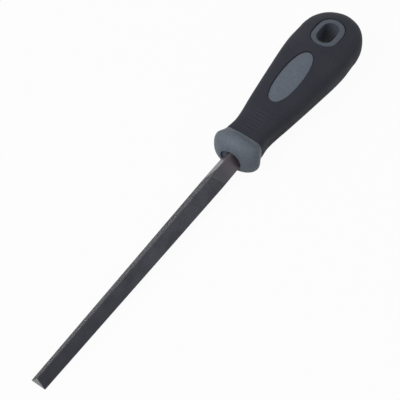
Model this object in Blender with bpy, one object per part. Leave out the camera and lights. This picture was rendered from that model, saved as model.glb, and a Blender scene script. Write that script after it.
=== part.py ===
"""Three-square hand file: a three-cornered, single-cut steel blade in a two-colour handle. Sizes in metres.

The tip points along -X, the butt along +X, and the face with the upper oval along +Z. The origin lies
under the middle of the file, level with the lowest point of the handle.
"""

import math
from collections import namedtuple

import bmesh
import bpy
from mathutils import Matrix

# Places along the file, named AT, are measured from the mouth of the collar towards the butt.

# Blade and tang
BLADE_LENGTH = 0.150
BLADE_SIDE_AT_TIP = 0.0077
BLADE_SIDE_AT_HEEL = 0.0106
CORNER_LAND = 0.0003
SHOULDER_AT = -0.0005
TANG_ROOT_AT = 0.009
TANG_ROOT_SIDE = 0.0074
TANG_END_AT = 0.052
TANG_END_SIDE = 0.0034

# Teeth: one row of slanting grooves on each face, steep on the side towards the tip
TOOTH_PITCH = 0.0010
TOOTH_DEPTH = 0.0003
TOOTH_CREST = 0.00012
TOOTH_RAKE = math.radians(20)
TOOTH_ANGLE = math.radians(60)
UNCUT_HEEL = 0.014

# Handle outline: width and depth of the section, height of its flat side band, and rounding of the
# band's edges. The last three limit the band to a share of the half depth and the rounding to a share of
# the half band, and set how fully the butt's depth keeps up with its width.
Station = namedtuple("Station", "at width depth band edge")
COLLAR_BULGE = Station(at=0.006, width=0.0268, depth=0.0235, band=0.0090, edge=0.0040)
COLLAR_REAR = Station(at=0.011, width=0.0232, depth=0.0180, band=0.0110, edge=0.0040)
NECK = Station(at=0.020, width=0.0216, depth=0.0176, band=0.0104, edge=0.0038)
WAIST = Station(at=0.036, width=0.0258, depth=0.0192, band=0.0106, edge=0.0042)
PALM = Station(at=0.055, width=0.0307, depth=0.0222, band=0.0112, edge=0.0046)
BELLY = Station(at=0.076, width=0.0353, depth=0.0240, band=0.0118, edge=0.0048)
TAIL = Station(at=0.089, width=0.0348, depth=0.0236, band=0.0114, edge=0.0050)
BUTT_AT = 0.109
MOST_BAND = 0.7
MOST_EDGE = 0.9
BUTT_FULLNESS = 0.8

# Thickness of the black sleeve
GRIP_WALL = 0.0026

# Collar
MOUTH_RADIUS = 0.00615
MOUTH_ROUNDING = 0.0006
SPIGOT_RADIUS = 0.0062
SPIGOT_LENGTH = 0.005

# Low ribs across the neck, above and below
RIB_COUNT = 7
RIB_START_AT = 0.0145
RIB_PITCH = 0.0021
RIB_HEIGHT = 0.0003

# Oval inlays
OVAL_AT = 0.0537
OVAL_LENGTH = 0.0366
OVAL_WIDTH = 0.0123
OVAL_FULLNESS = 2.1
INLAY_RECESS = 0.0007

# Hanging eyelet
EYELET_AT = 0.0883
HOLE_LENGTH = 0.0139
HOLE_WIDTH = 0.0091
EYELET_WALL = 0.0028
EYELET_RIM = 0.0018
EYELET_RECESS = 0.0002
DISH_DEPTH = 0.0010

# Gap left between pieces that touch
FIT_GAP = 0.0003

# Facets, and the angle past which an edge between them shows
CREASE = math.radians(30)
CROWN_STEPS = 5
EDGE_STEPS = 3
CAP_STEPS = 7
GRIP_STEPS = 10
FLARE_STEPS = 6
ROUND_STEPS = 10
OVAL_STEPS = 36

# How far a cutter runs past what it cuts
OVERCUT = 0.002
GROOVE_OVERCUT = 0.00003

MOUTH_X = (BLADE_LENGTH - BUTT_AT) / 2
GRIP_STATIONS = (COLLAR_REAR, NECK, WAIST, PALM, BELLY, TAIL)
AXIS_Z = max(station.depth for station in (COLLAR_BULGE,) + GRIP_STATIONS) / 2
GRIP_FRONT_AT = COLLAR_REAR.at + FIT_GAP
SPIGOT_AT = COLLAR_REAR.at - SPIGOT_LENGTH

STEEL = ("file_steel", (0.050, 0.050, 0.053), 0.45, 1.0)
GREY_PLASTIC = ("grey_plastic", (0.114, 0.130, 0.153), 0.60, 0.0)
BLACK_GRIP = ("black_soft_grip", (0.037, 0.038, 0.048), 0.75, 0.0)


def clear_scene():
    """Remove the objects that the scene opens with."""
    for obj in list(bpy.data.objects):
        bpy.data.objects.remove(obj)


def material(name, colour, roughness, metallic):
    """A Principled material of one colour, made once."""
    made = bpy.data.materials.get(name)
    if made:
        return made
    made = bpy.data.materials.new(name)
    made.use_nodes = True
    shader = made.node_tree.nodes["Principled BSDF"]
    shader.inputs["Base Color"].default_value = (*colour, 1.0)
    shader.inputs["Roughness"].default_value = roughness
    shader.inputs["Metallic"].default_value = metallic
    return made


def new_collection(name):
    collection = bpy.data.collections.new(name)
    bpy.context.scene.collection.children.link(collection)
    return collection


def place(name, bm, collection, root, finish=None):
    """An object from a mesh whose coordinates start at the mouth of the collar."""
    bmesh.ops.triangulate(bm, faces=bm.faces)
    bmesh.ops.recalc_face_normals(bm, faces=bm.faces)
    mesh = bpy.data.meshes.new(name)
    bm.to_mesh(mesh)
    bm.free()
    mesh.shade_smooth()
    mesh.set_sharp_from_angle(angle=CREASE)
    obj = bpy.data.objects.new(name, mesh)
    obj.parent = root
    collection.objects.link(obj)
    if finish:
        mesh.materials.append(material(*finish))
    else:
        obj.hide_render = True
        obj.display_type = "WIRE"
    return obj


def boolean(obj, operation, cutter):
    modifier = obj.modifiers.new(f"{operation.lower()} {cutter.name}", "BOOLEAN")
    modifier.operation = operation
    modifier.object = cutter


def loft(rings, loop=False, bm=None):
    """A closed mesh through rings of points. One point is a pole, and a loop joins the last to the first."""
    bm = bm or bmesh.new()
    rows = [[bm.verts.new(point) for point in ring] for ring in rings]
    pairs = list(zip(rows, rows[1:]))
    if loop:
        pairs.append((rows[-1], rows[0]))
    for near, far in pairs:
        for i in range(max(len(near), len(far))):
            j = i + 1
            corners = (near[i % len(near)], near[j % len(near)], far[j % len(far)], far[i % len(far)])
            bm.faces.new(dict.fromkeys(corners))
    if not loop:
        for row in (rows[0], rows[-1]):
            if len(row) > 2:
                bm.faces.new(row)
    return bm


def lying(at, section):
    """A section of (y, z) points stood across the file."""
    return [(at, y, z) for y, z in section]


def level(outline, height):
    """An outline of (x, y) points laid flat at a height."""
    return [(x, y, height) for x, y in outline]


def mix(first, second, share):
    """Numbers or lists of points between two of a kind."""
    if isinstance(first, (int, float)):
        return first + (second - first) * share
    return [tuple(a + (b - a) * share for a, b in zip(p, q)) for p, q in zip(first, second)]


def bend(start, corner, end, share):
    """A point on the curve that leaves start and reaches end along the lines to their corner."""
    return mix([mix([start], [corner], share)[0]], [mix([corner], [end], share)[0]], share)[0]


# Blade


def triangle(side, clearance=0.0):
    """The blade's section, one corner up, with a narrow land in place of each sharp corner."""
    radius = side / math.sqrt(3) + 2 * clearance
    land_at = radius - CORNER_LAND * math.sqrt(3) / 2
    points = []
    for corner in range(3):
        turn = math.radians(90 - 120 * corner)
        for across in (CORNER_LAND / 2, -CORNER_LAND / 2):
            points.append(
                (
                    land_at * math.cos(turn) - across * math.sin(turn),
                    land_at * math.sin(turn) + across * math.cos(turn),
                )
            )
    return points


def groove(row, half_width, slant):
    """One groove cutter on a level face, as two ends that stop at the corner lands."""
    overcut = GROOVE_OVERCUT / TOOTH_DEPTH
    width = TOOTH_PITCH - TOOTH_CREST
    foot = TOOTH_DEPTH * math.tan(TOOTH_RAKE)
    profile = (
        (-foot, -TOOTH_DEPTH),
        (foot * overcut, GROOVE_OVERCUT),
        (-width - (width - foot) * overcut, GROOVE_OVERCUT),
    )
    ends = []
    for side in (-1, 1):
        start = -row * TOOTH_PITCH - side * half_width * math.tan(slant)
        ends.append([(start + x, side * half_width, z) for x, z in profile])
    return ends


def make_teeth(cutters, root):
    """Groove cutters, a row for each face, which follow the blade's taper."""
    length = BLADE_LENGTH + SHOULDER_AT
    narrowing = (BLADE_SIDE_AT_HEEL - BLADE_SIDE_AT_TIP) / length
    taper = math.atan(narrowing / (2 * math.sqrt(3)))
    side_at_start = BLADE_SIDE_AT_HEEL - narrowing * (SHOULDER_AT + UNCUT_HEEL)
    slant = math.pi / 2 - TOOTH_ANGLE
    run_out = BLADE_SIDE_AT_HEEL / 2 * math.tan(slant)
    rows = math.ceil((BLADE_LENGTH - UNCUT_HEEL + run_out) / TOOTH_PITCH)
    made = []
    for face in range(3):
        bm = bmesh.new()
        for row in range(rows):
            side = side_at_start - narrowing * row * TOOTH_PITCH
            loft(groove(row, side / 2 - 2 * CORNER_LAND, slant), bm=bm)
        cutter = place(f"teeth_of_face_{face + 1}", bm, cutters, root)
        around = Matrix.Rotation(math.pi + face * 2 * math.pi / 3, 4, "X")
        on_face = Matrix.Translation((-UNCUT_HEEL, 0, side_at_start / (2 * math.sqrt(3))))
        cutter.matrix_basis = around @ on_face @ Matrix.Rotation(-taper, 4, "Y")
        made.append(cutter)
    return made


def make_blade(parts, cutters, root):
    """Toothed blade, shoulder and tang, forged in one."""
    bm = loft(
        [
            lying(-BLADE_LENGTH, triangle(BLADE_SIDE_AT_TIP)),
            lying(SHOULDER_AT, triangle(BLADE_SIDE_AT_HEEL)),
            lying(TANG_ROOT_AT, triangle(TANG_ROOT_SIDE)),
            lying(TANG_END_AT, triangle(TANG_END_SIDE)),
        ]
    )
    blade = place("file_blade", bm, parts, root, STEEL)
    for cutter in make_teeth(cutters, root):
        boolean(blade, "DIFFERENCE", cutter)


def make_socket(cutters, root):
    """The hole for the shoulder and the tang."""
    bm = loft(
        [
            lying(SHOULDER_AT, triangle(BLADE_SIDE_AT_HEEL, FIT_GAP)),
            lying(TANG_ROOT_AT, triangle(TANG_ROOT_SIDE, FIT_GAP)),
            lying(TANG_END_AT + FIT_GAP, triangle(TANG_END_SIDE, FIT_GAP)),
        ]
    )
    return place("tang_socket", bm, cutters, root)


# Handle


def grip_station(at):
    """The handle's section sizes at a place, on a smooth curve through the stations."""
    if at <= GRIP_STATIONS[0].at:
        return GRIP_STATIONS[0]
    for index, (here, there) in enumerate(zip(GRIP_STATIONS, GRIP_STATIONS[1:])):
        if at <= there.at:
            break
    before = GRIP_STATIONS[max(index - 1, 0)]
    after = GRIP_STATIONS[min(index + 2, len(GRIP_STATIONS) - 1)]
    span = there.at - here.at
    t = min((at - here.at) / span, 1.0)
    sizes = []
    for field in range(1, len(Station._fields)):
        slope_here = (there[field] - before[field]) / (there.at - before.at)
        slope_there = (after[field] - here[field]) / (after.at - here.at) if after is not there else 0.0
        sizes.append(
            here[field] * (2 * t**3 - 3 * t**2 + 1)
            + slope_here * span * (t**3 - 2 * t**2 + t)
            + there[field] * (3 * t**2 - 2 * t**3)
            + slope_there * span * (t**3 - t**2)
        )
    return Station(at, *sizes)


def section(station, inset=0.0, rib=0.0):
    """Crowned above and below, flat at the sides, as a ring of (y, z) points that starts near the top.

    The crown's middle facet lies level, so the handle has a narrow flat to rest on.
    """
    half_width = station.width / 2 - inset
    half_depth = station.depth / 2 - inset
    half_band = min(station.band / 2, MOST_BAND * half_depth)
    edge = min(station.edge, MOST_EDGE * half_band)
    rise = half_depth - half_band
    radius = (half_width**2 + rise**2) / (2 * rise)
    sweep = math.asin(half_width / radius) - edge / radius
    facet = sweep / (CROWN_STEPS + 0.5)
    quarter = []
    for i in range(CROWN_STEPS + 1):
        angle = facet * (i + 0.5)
        height = half_depth - radius * (math.cos(facet / 2) - math.cos(angle))
        lift = rib * math.sqrt(1 - i / CROWN_STEPS)
        quarter.append((radius * math.sin(angle), height + lift))
    start = quarter[-1]
    ridge = (half_width, half_band)
    end = (half_width, half_band - edge)
    for i in range(1, EDGE_STEPS + 1):
        quarter.append(bend(start, ridge, end, i / EDGE_STEPS))
    right = quarter + [(y, -z) for y, z in reversed(quarter)]
    left = [(-y, z) for y, z in reversed(right)]
    return right + left


def disc(ring, radius):
    """A circle whose points lie in the same directions as a ring's."""
    return [(y * radius / math.hypot(y, z), z * radius / math.hypot(y, z)) for y, z in ring]


def grip_form(inset, front, ribbed=False):
    """Rings of the handle behind the collar, drawn in by an inset, from the front to the rounded butt."""
    rings = []
    first = front
    if ribbed:
        rings.append(lying(front, section(grip_station(front), inset)))
        for i in range(2 * RIB_COUNT + 1):
            first = RIB_START_AT + i * RIB_PITCH / 2
            rings.append(lying(first, section(grip_station(first), inset, RIB_HEIGHT * (i % 2))))
    for i in range(1 if ribbed else 0, GRIP_STEPS + 1):
        at = mix(first, TAIL.at, i / GRIP_STEPS)
        rings.append(lying(at, section(grip_station(at), inset)))
    tail = section(TAIL, inset)
    for i in range(1, CAP_STEPS):
        angle = math.pi / 2 * i / CAP_STEPS
        at = mix(TAIL.at, BUTT_AT - inset, math.sin(angle))
        narrow = math.cos(angle)
        rings.append(lying(at, [(y * narrow, z * narrow**BUTT_FULLNESS) for y, z in tail]))
    rings.append([(BUTT_AT - inset, 0, 0)])
    return rings


def make_grip(parts, root, cavity, window, eyelet_hole):
    """The black sleeve, closed at the butt, with oval windows above and below."""
    grip = place("soft_grip", loft(grip_form(0.0, GRIP_FRONT_AT, ribbed=True)), parts, root, BLACK_GRIP)
    for cutter in (cavity, window, eyelet_hole):
        boolean(grip, "DIFFERENCE", cutter)


def make_core(parts, root, socket, eyelet_hole):
    """The stiff core inside the sleeve, with a spigot that carries the collar."""
    body = grip_form(GRIP_WALL, GRIP_FRONT_AT)
    spigot = disc(section(grip_station(GRIP_FRONT_AT), GRIP_WALL), SPIGOT_RADIUS)
    bm = loft([lying(SPIGOT_AT + FIT_GAP, spigot), lying(GRIP_FRONT_AT, spigot)] + body)
    core = place("handle_core", bm, parts, root, GREY_PLASTIC)
    for cutter in (socket, eyelet_hole):
        boolean(core, "DIFFERENCE", cutter)


def make_collar(parts, root):
    """The rounded collar: a round mouth, the grip's section behind, and a bore for the core's spigot."""
    bulge = section(COLLAR_BULGE)
    rear = section(COLLAR_REAR)
    lip = disc(bulge, MOUTH_RADIUS + MOUTH_ROUNDING)
    mouth = disc(bulge, MOUTH_RADIUS)
    bore = disc(bulge, SPIGOT_RADIUS + FIT_GAP)
    rings = [lying(SPIGOT_AT, mouth)]
    for i in range(FLARE_STEPS // 2 + 1):
        angle = math.pi / 2 * i / (FLARE_STEPS // 2)
        share = 1 - math.cos(angle)
        rings.append(lying(MOUTH_ROUNDING * (1 - math.sin(angle)), mix(mouth, lip, share)))
    for i in range(1, FLARE_STEPS + 1):
        angle = math.pi / 2 * i / FLARE_STEPS
        rings.append(lying(COLLAR_BULGE.at * (1 - math.cos(angle)), mix(lip, bulge, math.sin(angle))))
    for i in range(1, FLARE_STEPS + 1):
        share = i / FLARE_STEPS
        ease = share * share * (3 - 2 * share)
        rings.append(lying(mix(COLLAR_BULGE.at, COLLAR_REAR.at, share), mix(bulge, rear, ease)))
    rings.append(lying(COLLAR_REAR.at, bore))
    rings.append(lying(SPIGOT_AT, bore))
    place("collar", loft(rings, loop=True), parts, root, GREY_PLASTIC)


# Inlays and eyelet


def oval(grow=0.0):
    """The inlay's outline, an ellipse a little full at its ends."""
    points = []
    for i in range(OVAL_STEPS):
        angle = 2 * math.pi * i / OVAL_STEPS
        along = math.copysign(abs(math.cos(angle)) ** (2 / OVAL_FULLNESS), math.cos(angle))
        across = math.copysign(abs(math.sin(angle)) ** (2 / OVAL_FULLNESS), math.sin(angle))
        points.append((OVAL_AT + (OVAL_LENGTH / 2 + grow) * along, (OVAL_WIDTH / 2 + grow) * across))
    return points


def obround(grow=0.0):
    """The hanging hole's outline, grown by a wall: two half circles and two straight sides."""
    radius = HOLE_WIDTH / 2
    points = []
    for end in (1, -1):
        centre = EYELET_AT + end * (HOLE_LENGTH / 2 - radius)
        for i in range(ROUND_STEPS + 1):
            angle = math.pi * (i / ROUND_STEPS - 0.5)
            along = end * (radius + grow) * math.cos(angle)
            points.append((centre + along, end * (radius + grow) * math.sin(angle)))
    return points


def make_inlay(name, side, parts, root, recessed, cavity):
    """A grey oval that lies on the core and stops a little below the black."""
    bm = loft([level(oval(), 0.0), level(oval(), side * BELLY.depth)])
    inlay = place(name, bm, parts, root, GREY_PLASTIC)
    boolean(inlay, "INTERSECT", recessed)
    boolean(inlay, "DIFFERENCE", cavity)


def make_eyelet(parts, cutters, root, flush):
    """The bush that lines the hanging hole, dished at both ends."""
    reach = BELLY.depth
    top = grip_station(EYELET_AT).depth / 2
    mouth = EYELET_WALL - EYELET_RIM
    slope = mouth / DISH_DEPTH
    heights = (top + OVERCUT, top - DISH_DEPTH, DISH_DEPTH - top, -top - OVERCUT)
    grows = (mouth + OVERCUT * slope, 0.0, 0.0, mouth + OVERCUT * slope)
    hole = place("dished_hole", loft([level(obround(g), z) for g, z in zip(grows, heights)]), cutters, root)
    tube = loft([level(obround(EYELET_WALL), reach), level(obround(EYELET_WALL), -reach)])
    eyelet = place("hanging_eyelet", tube, parts, root, GREY_PLASTIC)
    boolean(eyelet, "INTERSECT", flush)
    boolean(eyelet, "DIFFERENCE", hole)


def main():
    clear_scene()
    parts = new_collection("three_square_file")
    cutters = new_collection("cutters")
    root = bpy.data.objects.new("collar_mouth", None)
    root.location = (MOUTH_X, 0, AXIS_Z)
    parts.objects.link(root)

    reach = BELLY.depth
    inner_front = GRIP_FRONT_AT - OVERCUT
    cavity = place("grip_cavity", loft(grip_form(GRIP_WALL - FIT_GAP, inner_front)), cutters, root)
    recessed = place("inlay_level", loft(grip_form(INLAY_RECESS, inner_front)), cutters, root)
    flush = place("eyelet_level", loft(grip_form(EYELET_RECESS, inner_front)), cutters, root)
    window = place("oval_window", loft([level(oval(FIT_GAP), z) for z in (reach, -reach)]), cutters, root)
    outer = obround(EYELET_WALL + FIT_GAP)
    eyelet_hole = place("eyelet_hole", loft([level(outer, z) for z in (reach, -reach)]), cutters, root)
    socket = make_socket(cutters, root)

    make_blade(parts, cutters, root)
    make_collar(parts, root)
    make_core(parts, root, socket, eyelet_hole)
    make_grip(parts, root, cavity, window, eyelet_hole)
    make_inlay("upper_inlay", 1, parts, root, recessed, cavity)
    make_inlay("lower_inlay", -1, parts, root, recessed, cavity)
    make_eyelet(parts, cutters, root, flush)


main()
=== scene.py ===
"""Looks of a three-square file with a two-colour handle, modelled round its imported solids.

Sizes are in metres. A piece is modelled with the file's axis on X and the collar's mouth at the origin,
and is then set where the solids are. Places named at are measured from the mouth towards the butt.
"""

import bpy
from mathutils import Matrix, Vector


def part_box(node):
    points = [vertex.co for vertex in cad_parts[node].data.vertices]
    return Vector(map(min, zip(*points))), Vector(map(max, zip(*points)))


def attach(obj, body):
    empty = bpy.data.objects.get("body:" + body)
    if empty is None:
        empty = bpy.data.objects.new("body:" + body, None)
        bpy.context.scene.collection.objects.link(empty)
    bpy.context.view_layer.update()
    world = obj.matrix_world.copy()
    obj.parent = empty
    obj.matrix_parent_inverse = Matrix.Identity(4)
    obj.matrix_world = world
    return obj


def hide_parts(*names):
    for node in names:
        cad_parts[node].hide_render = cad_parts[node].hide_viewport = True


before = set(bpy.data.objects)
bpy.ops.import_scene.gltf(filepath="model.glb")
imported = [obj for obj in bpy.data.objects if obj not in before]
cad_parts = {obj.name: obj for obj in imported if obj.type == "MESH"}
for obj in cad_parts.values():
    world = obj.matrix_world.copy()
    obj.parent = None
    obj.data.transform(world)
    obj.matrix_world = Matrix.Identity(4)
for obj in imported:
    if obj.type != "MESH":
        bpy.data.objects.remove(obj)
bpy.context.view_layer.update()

import math
from collections import namedtuple

import bmesh
import bpy
from bpy.props import FloatProperty, FloatVectorProperty, IntProperty, PointerProperty
from mathutils import Matrix, Vector

bl_info = {
    "name": "Three-square file",
    "version": (1, 0, 0),
    "blender": (4, 5, 0),
    "location": "3D View > Sidebar > Hand file",
    "description": "Models the blade, handle and stage of a three-square file round its packed solids",
    "category": "Object",
}

# Places and sizes that the solids give
COLLAR_LOW, COLLAR_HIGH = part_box("collar")
GRIP_LOW, GRIP_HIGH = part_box("soft_grip")
BLADE_LOW, BLADE_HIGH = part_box("file_blade")
OVAL_LOW, OVAL_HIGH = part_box("upper_inlay")
EYELET_LOW, EYELET_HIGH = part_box("hanging_eyelet")
MOUTH = Vector((COLLAR_LOW.x, 0.0, (GRIP_LOW.z + GRIP_HIGH.z) / 2))
COLLAR_SIZE = COLLAR_HIGH - COLLAR_LOW
OVAL_SIZE = OVAL_HIGH - OVAL_LOW
EYELET_SIZE = EYELET_HIGH - EYELET_LOW
BUTT_AT = GRIP_HIGH.x - MOUTH.x

# Cages: their points round a ring, along an outline and along the handle, with turns in degrees
RING_POINTS = 24
RING_START_RADIUS = 0.01
QUARTER_POINTS = RING_POINTS // 4 + 1
OUTLINE_STEPS = 8
OVAL_TURNS = [math.pi * i / OUTLINE_STEPS for i in range(OUTLINE_STEPS + 1)]
EYELET_TURNS = (0, 30, 60, 90)
CROWN_SHARES = (0.0, 0.36, 0.7, 1.0)
NOSE_TURNS = (24, 48, 70, 90)
NECK_SHARES = (0.25, 0.5, 0.75, 1.0)
BUTT_TURNS = (41, 56, 69, 79, 86)
MOUTH_WALL_START, MOUTH_KNEE = 1.4, 0.25
EDGE_MOST = 0.9
BOW_POWER = 4
FIRM_ROUNDS = 30
MIRROR_ACROSS = (-1.0, 1.0)
MIRROR_UP = (1.0, -1.0)

# Fits, creases and roundings
FIT_GAP = 0.00015
SAME_PLACE = 0.00001
ASIDE = 10.0
END_FACING = 0.6
END_CREASE, WINDOW_CREASE, EYELET_CREASE = 0.8, 0.5, 0.55
SQUARE_ANGLE, DISH_ANGLE = math.radians(55), math.radians(35)
SMOOTH_ANGLE, TOOTH_ANGLE = math.radians(40), math.radians(15)
TOOTH_MATCH = 0.01
INLAY_ROUNDING = 0.00025
DISH_WALL = 0.0006

# Noise of the grain and the marks: scales and shares, and the ranges that become masks
GRAIN_COARSE, GRAIN_PATCHES = 0.35, 0.3
GRAIN_FINE_SHARE = 0.85
PIT_RANGE = (0.56, 0.44)
PATCH_RANGE = (0.36, 0.64)
SMUDGE_RANGE = (0.32, 0.68)
SCUFF_STRETCH = (0.25, 4.0, 4.0)
SCUFF_FINENESS = 6.0
SCUFF_RANGE, SCUFF_PLACES = (0.62, 0.70), (0.45, 0.65)
SMUDGE_SHARE, PIT_SHARE = 0.4, 0.75
MOULDED_SPECULAR = 0.25

# Stage
FLOOR_SIZE = 6.0
FLOOR_GAP = 0.0002
FLOOR_GLOW = 0.95
FLOOR_ROUGHNESS = 0.9
WORLD_LIGHT = 0.355
LAMP_TARGET = (0.02, 0.0, 0.0)
LAMPS = (
    ("key", (-0.85, 0.50, 1.05), 1.1, 16.6),
    ("fill", (0.60, -0.70, 0.90), 1.0, 3.0),
)
CAMERA_LENS = 126.0
CAMERA_PLACE = (-0.30494, -0.22743, 0.58330)
CAMERA_AXES = (
    (0.58282, -0.81242, -0.01762),
    (0.68601, 0.48029, 0.54655),
    (-0.43556, -0.33062, 0.83724),
)

Station = namedtuple("Station", "at width depth band edge")
Moulding = namedtuple("Moulding", "grain marks dark light smudge pit scuff scuffs roughness bump bump_depth")
GREY_MOULDING = Moulding(
    grain=3000.0,
    marks=90.0,
    dark=1.08,
    light=1.24,
    smudge=1.06,
    pit=0.68,
    scuff=1.5,
    scuffs=0.25,
    roughness=(0.52, 0.64),
    bump=0.35,
    bump_depth=0.00012,
)
BLACK_MOULDING = Moulding(
    grain=3400.0,
    marks=60.0,
    dark=1.00,
    light=1.14,
    smudge=1.12,
    pit=0.55,
    scuff=2.2,
    scuffs=0.2,
    roughness=(0.66, 0.80),
    bump=0.4,
    bump_depth=0.0001,
)
Steel = namedtuple(
    "Steel",
    "marks dark light crest crest_at_tip crest_shares foot foot_share foot_shade "
    "tip_fade tip_share tip_shade grind grind_shade warm heel_shade scuffs scuff "
    "roughness heel_roughness heel_metal grain bump bump_depth",
)
FILE_STEEL = Steel(
    marks=120.0,
    dark=0.88,
    light=1.12,
    crest=0.12,
    crest_at_tip=0.5,
    crest_shares=(0.25, 0.62),
    foot=0.55,
    # Painted shade in the groove feet: where it starts, how much and how dark.
    foot_share=0.45,
    foot_shade=0.55,
    tip_fade=0.09,
    tip_share=0.55,
    tip_shade=0.6,
    grind=0.00006,
    grind_shade=0.38,
    # Reach of the browner, lighter heel at the mouth, partly painted light.
    warm=0.7,
    heel_shade=0.95,
    scuffs=0.5,
    scuff=1.9,
    roughness=(0.20, 0.30),
    heel_roughness=0.12,
    heel_metal=0.35,
    grain=2400.0,
    bump=0.15,
    bump_depth=0.00004,
)


def length(name, description, default):
    return FloatProperty(name=name, description=description, default=default, unit="LENGTH", precision=5)


def angle(name, description, degrees):
    return FloatProperty(name=name, description=description, default=math.radians(degrees), subtype="ANGLE")


def fullness(name, description, default):
    return FloatProperty(name=name, description=description, default=default)


def station(name, sizes):
    return FloatVectorProperty(
        name=name,
        description="Place behind the collar's mouth, width, depth, height of the side band and its rounding",
        size=len(Station._fields),
        default=sizes,
        unit="LENGTH",
        precision=5,
    )


def colour(name, description, default):
    return FloatVectorProperty(
        name=name, description=description, default=default, subtype="COLOR", min=0, max=1
    )


class BladeSizes(bpy.types.PropertyGroup):
    """Sizes of the toothed blade."""

    length: length("Length", "From the tip to the collar's mouth", MOUTH.x - BLADE_LOW.x)
    mouth_side: length("Side at the mouth", "Side of the toothed section, carried on to the collar", 0.01132)
    heel_side: length("Side of the heel", "Side of the bare heel at the collar", 0.0107)
    tip_side: length("Side at the tip", "Side of the section at the tip", 0.0081)
    land: length("Corner land", "Width of the narrow flat on each corner", 0.0003)
    pitch: length("Tooth pitch", "From one tooth to the next", 0.0005)
    depth: length("Tooth depth", "Depth of the groove between two teeth", 0.00007)
    crest: length("Tooth crest", "Width of the flat on top of a tooth", 0.00008)
    run_out: length("Groove run-out", "Length over which a groove rises to the corner", 0.0004)
    rake: angle("Rake", "Lean of a tooth's cutting face", 18)
    slant: angle("Slant", "How far the teeth turn from square across the blade", 27)
    turn: angle("Turn", "How far the blade sits turned in the handle, its upper corner to the right", 2.2)
    skew: angle("Skew", "How far the blade stands aside in the handle, its tip to the left", 0.4)
    skew_at: length("Skew place", "Where the skewed blade crosses the axis, in front of the collar", 0.062)
    uncut_heel: length("Uncut heel", "Bare length in front of the collar", 0.014)
    tang_root_side: length("Tang root", "Side of the section where the tang starts", 0.0074)
    tang_end_side: length("Tang end", "Side of the section at the tang's end", 0.0034)
    tang_root_at: length("Tang root place", "Where the shoulder becomes the tang", 0.009)


class HandleSizes(bpy.types.PropertyGroup):
    """Sizes of the handle's outline, its ribs, windows and hanging hole."""

    rear: station("Collar rear", (0.0110, 0.0214, 0.0182, 0.0146, 0.0042))
    neck: station("Neck", (0.0200, 0.0205, 0.0176, 0.0134, 0.0042))
    waist: station("Waist", (0.0360, 0.0256, 0.0192, 0.0116, 0.0042))
    palm: station("Palm", (0.0550, 0.0307, 0.0222, 0.0112, 0.0040))
    belly: station("Belly", (0.0760, 0.0353, 0.0240, 0.0118, 0.0041))
    tail: station("Tail", (0.0890, 0.0348, 0.0236, 0.0114, 0.0041))
    bulge: station("Collar bulge", (0.0062, COLLAR_SIZE.y, COLLAR_SIZE.z, 0.0124, 0.0042))
    nose_fullness: fullness("Nose fullness", "How soon the collar swells behind its mouth", 0.8)
    butt_fullness: fullness("Butt fullness", "How far the butt's depth falls off after its width", 0.8)
    wall: length("Sleeve wall", "Thickness of the black sleeve", 0.0023)
    mouth_radius: length("Mouth radius", "Radius of the collar's round mouth", 0.0058)
    mouth_rounding: length("Mouth rounding", "Rounding of the mouth's rim", 0.0006)
    web_at: length("Web place", "Where the web round the blade closes the mouth, behind the lip", 0.0016)
    web_radius: length("Web opening", "Radius of the web's opening, which the blade fills", 0.0026)
    mouth_drop: length("Mouth drop", "How far the mouth lies below the handle's axis", 0.0008)
    bore_radius: length("Bore radius", "Radius of the collar's bore over the core", 0.0065)
    bore_at: length("Bore place", "Where the bore starts behind the mouth", 0.0060)
    seam_bow: length("Seam bow", "How far the collar's seam is drawn back at the sides", 0.0009)
    front_edge: length("Front edge", "Length of the sleeve's rounding against the collar", 0.0004)
    rib_count: IntProperty(name="Ribs", description="Low ribs across the neck", default=7)
    rib_start: length("First rib", "Where the ribs start behind the mouth", 0.0145)
    rib_pitch: length("Rib pitch", "From one rib to the next", 0.0021)
    rib_height: length("Rib height", "Height of a rib over its neighbouring grooves", 0.0004)
    oval_fullness: fullness("Oval fullness", "How blunt the ovals' ends are", 2.27)
    oval_trim: length("Oval trim", "How much nearer each end of an oval is than in the solids", 0.0006)
    inlay_recess: length("Inlay recess", "How far the ovals lie below the black", 0.0007)
    inlay_thickness: length("Inlay thickness", "Thickness of the oval plates", 0.0015)
    hole_length: length("Hole length", "Length of the hanging hole", 0.0143)
    hole_width: length("Hole width", "Width of the hanging hole", 0.0095)
    eyelet_growth: length("Eyelet growth", "How much further the eyelet reaches than in the solids", 0.0004)
    eyelet_rim: length("Eyelet rim", "Flat rim left outside the eyelet's dish", 0.0012)
    eyelet_recess: length("Eyelet recess", "How far the eyelet lies below the black", 0.0006)
    dish_depth: length("Dish depth", "Depth of the dish round the hanging hole", 0.0013)


class FileFinishes(bpy.types.PropertyGroup):
    """Colours of the finishes and the stage."""

    steel: colour("File steel", "Dark hardened steel of the teeth", (0.050, 0.051, 0.062))
    bare_steel: colour("Bare steel", "Bright steel on worn crests and the ground tip", (0.196, 0.200, 0.214))
    heel_steel: colour("Heel steel", "Warm, tempered steel of the uncut heel", (0.059, 0.058, 0.069))
    # Partly a real brown tint and partly painted light: lighter than the heel, to lift the shade that the
    # collar's lip casts on the heel at the mouth.
    lit_mouth_steel: colour("Mouth steel", "Browner steel of the heel at the collar", (0.121, 0.100, 0.114))
    grey: colour("Grey plastic", "Blue-grey moulding of the collar and the ovals", (0.100, 0.117, 0.143))
    # Painted shade: the eyelet's grey is darker than the collar's to stand for the shade in its recessed,
    # dished ring.
    dull_grey: colour("Dull grey", "Moulding of the eyelet, dulled by dust", (0.073, 0.085, 0.105))
    black: colour("Black grip", "Matte black of the soft sleeve", (0.0215, 0.0230, 0.0325))
    floor: colour("Floor", "Plain pale floor", (0.62, 0.62, 0.62))


# Work in edit mode


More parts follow.
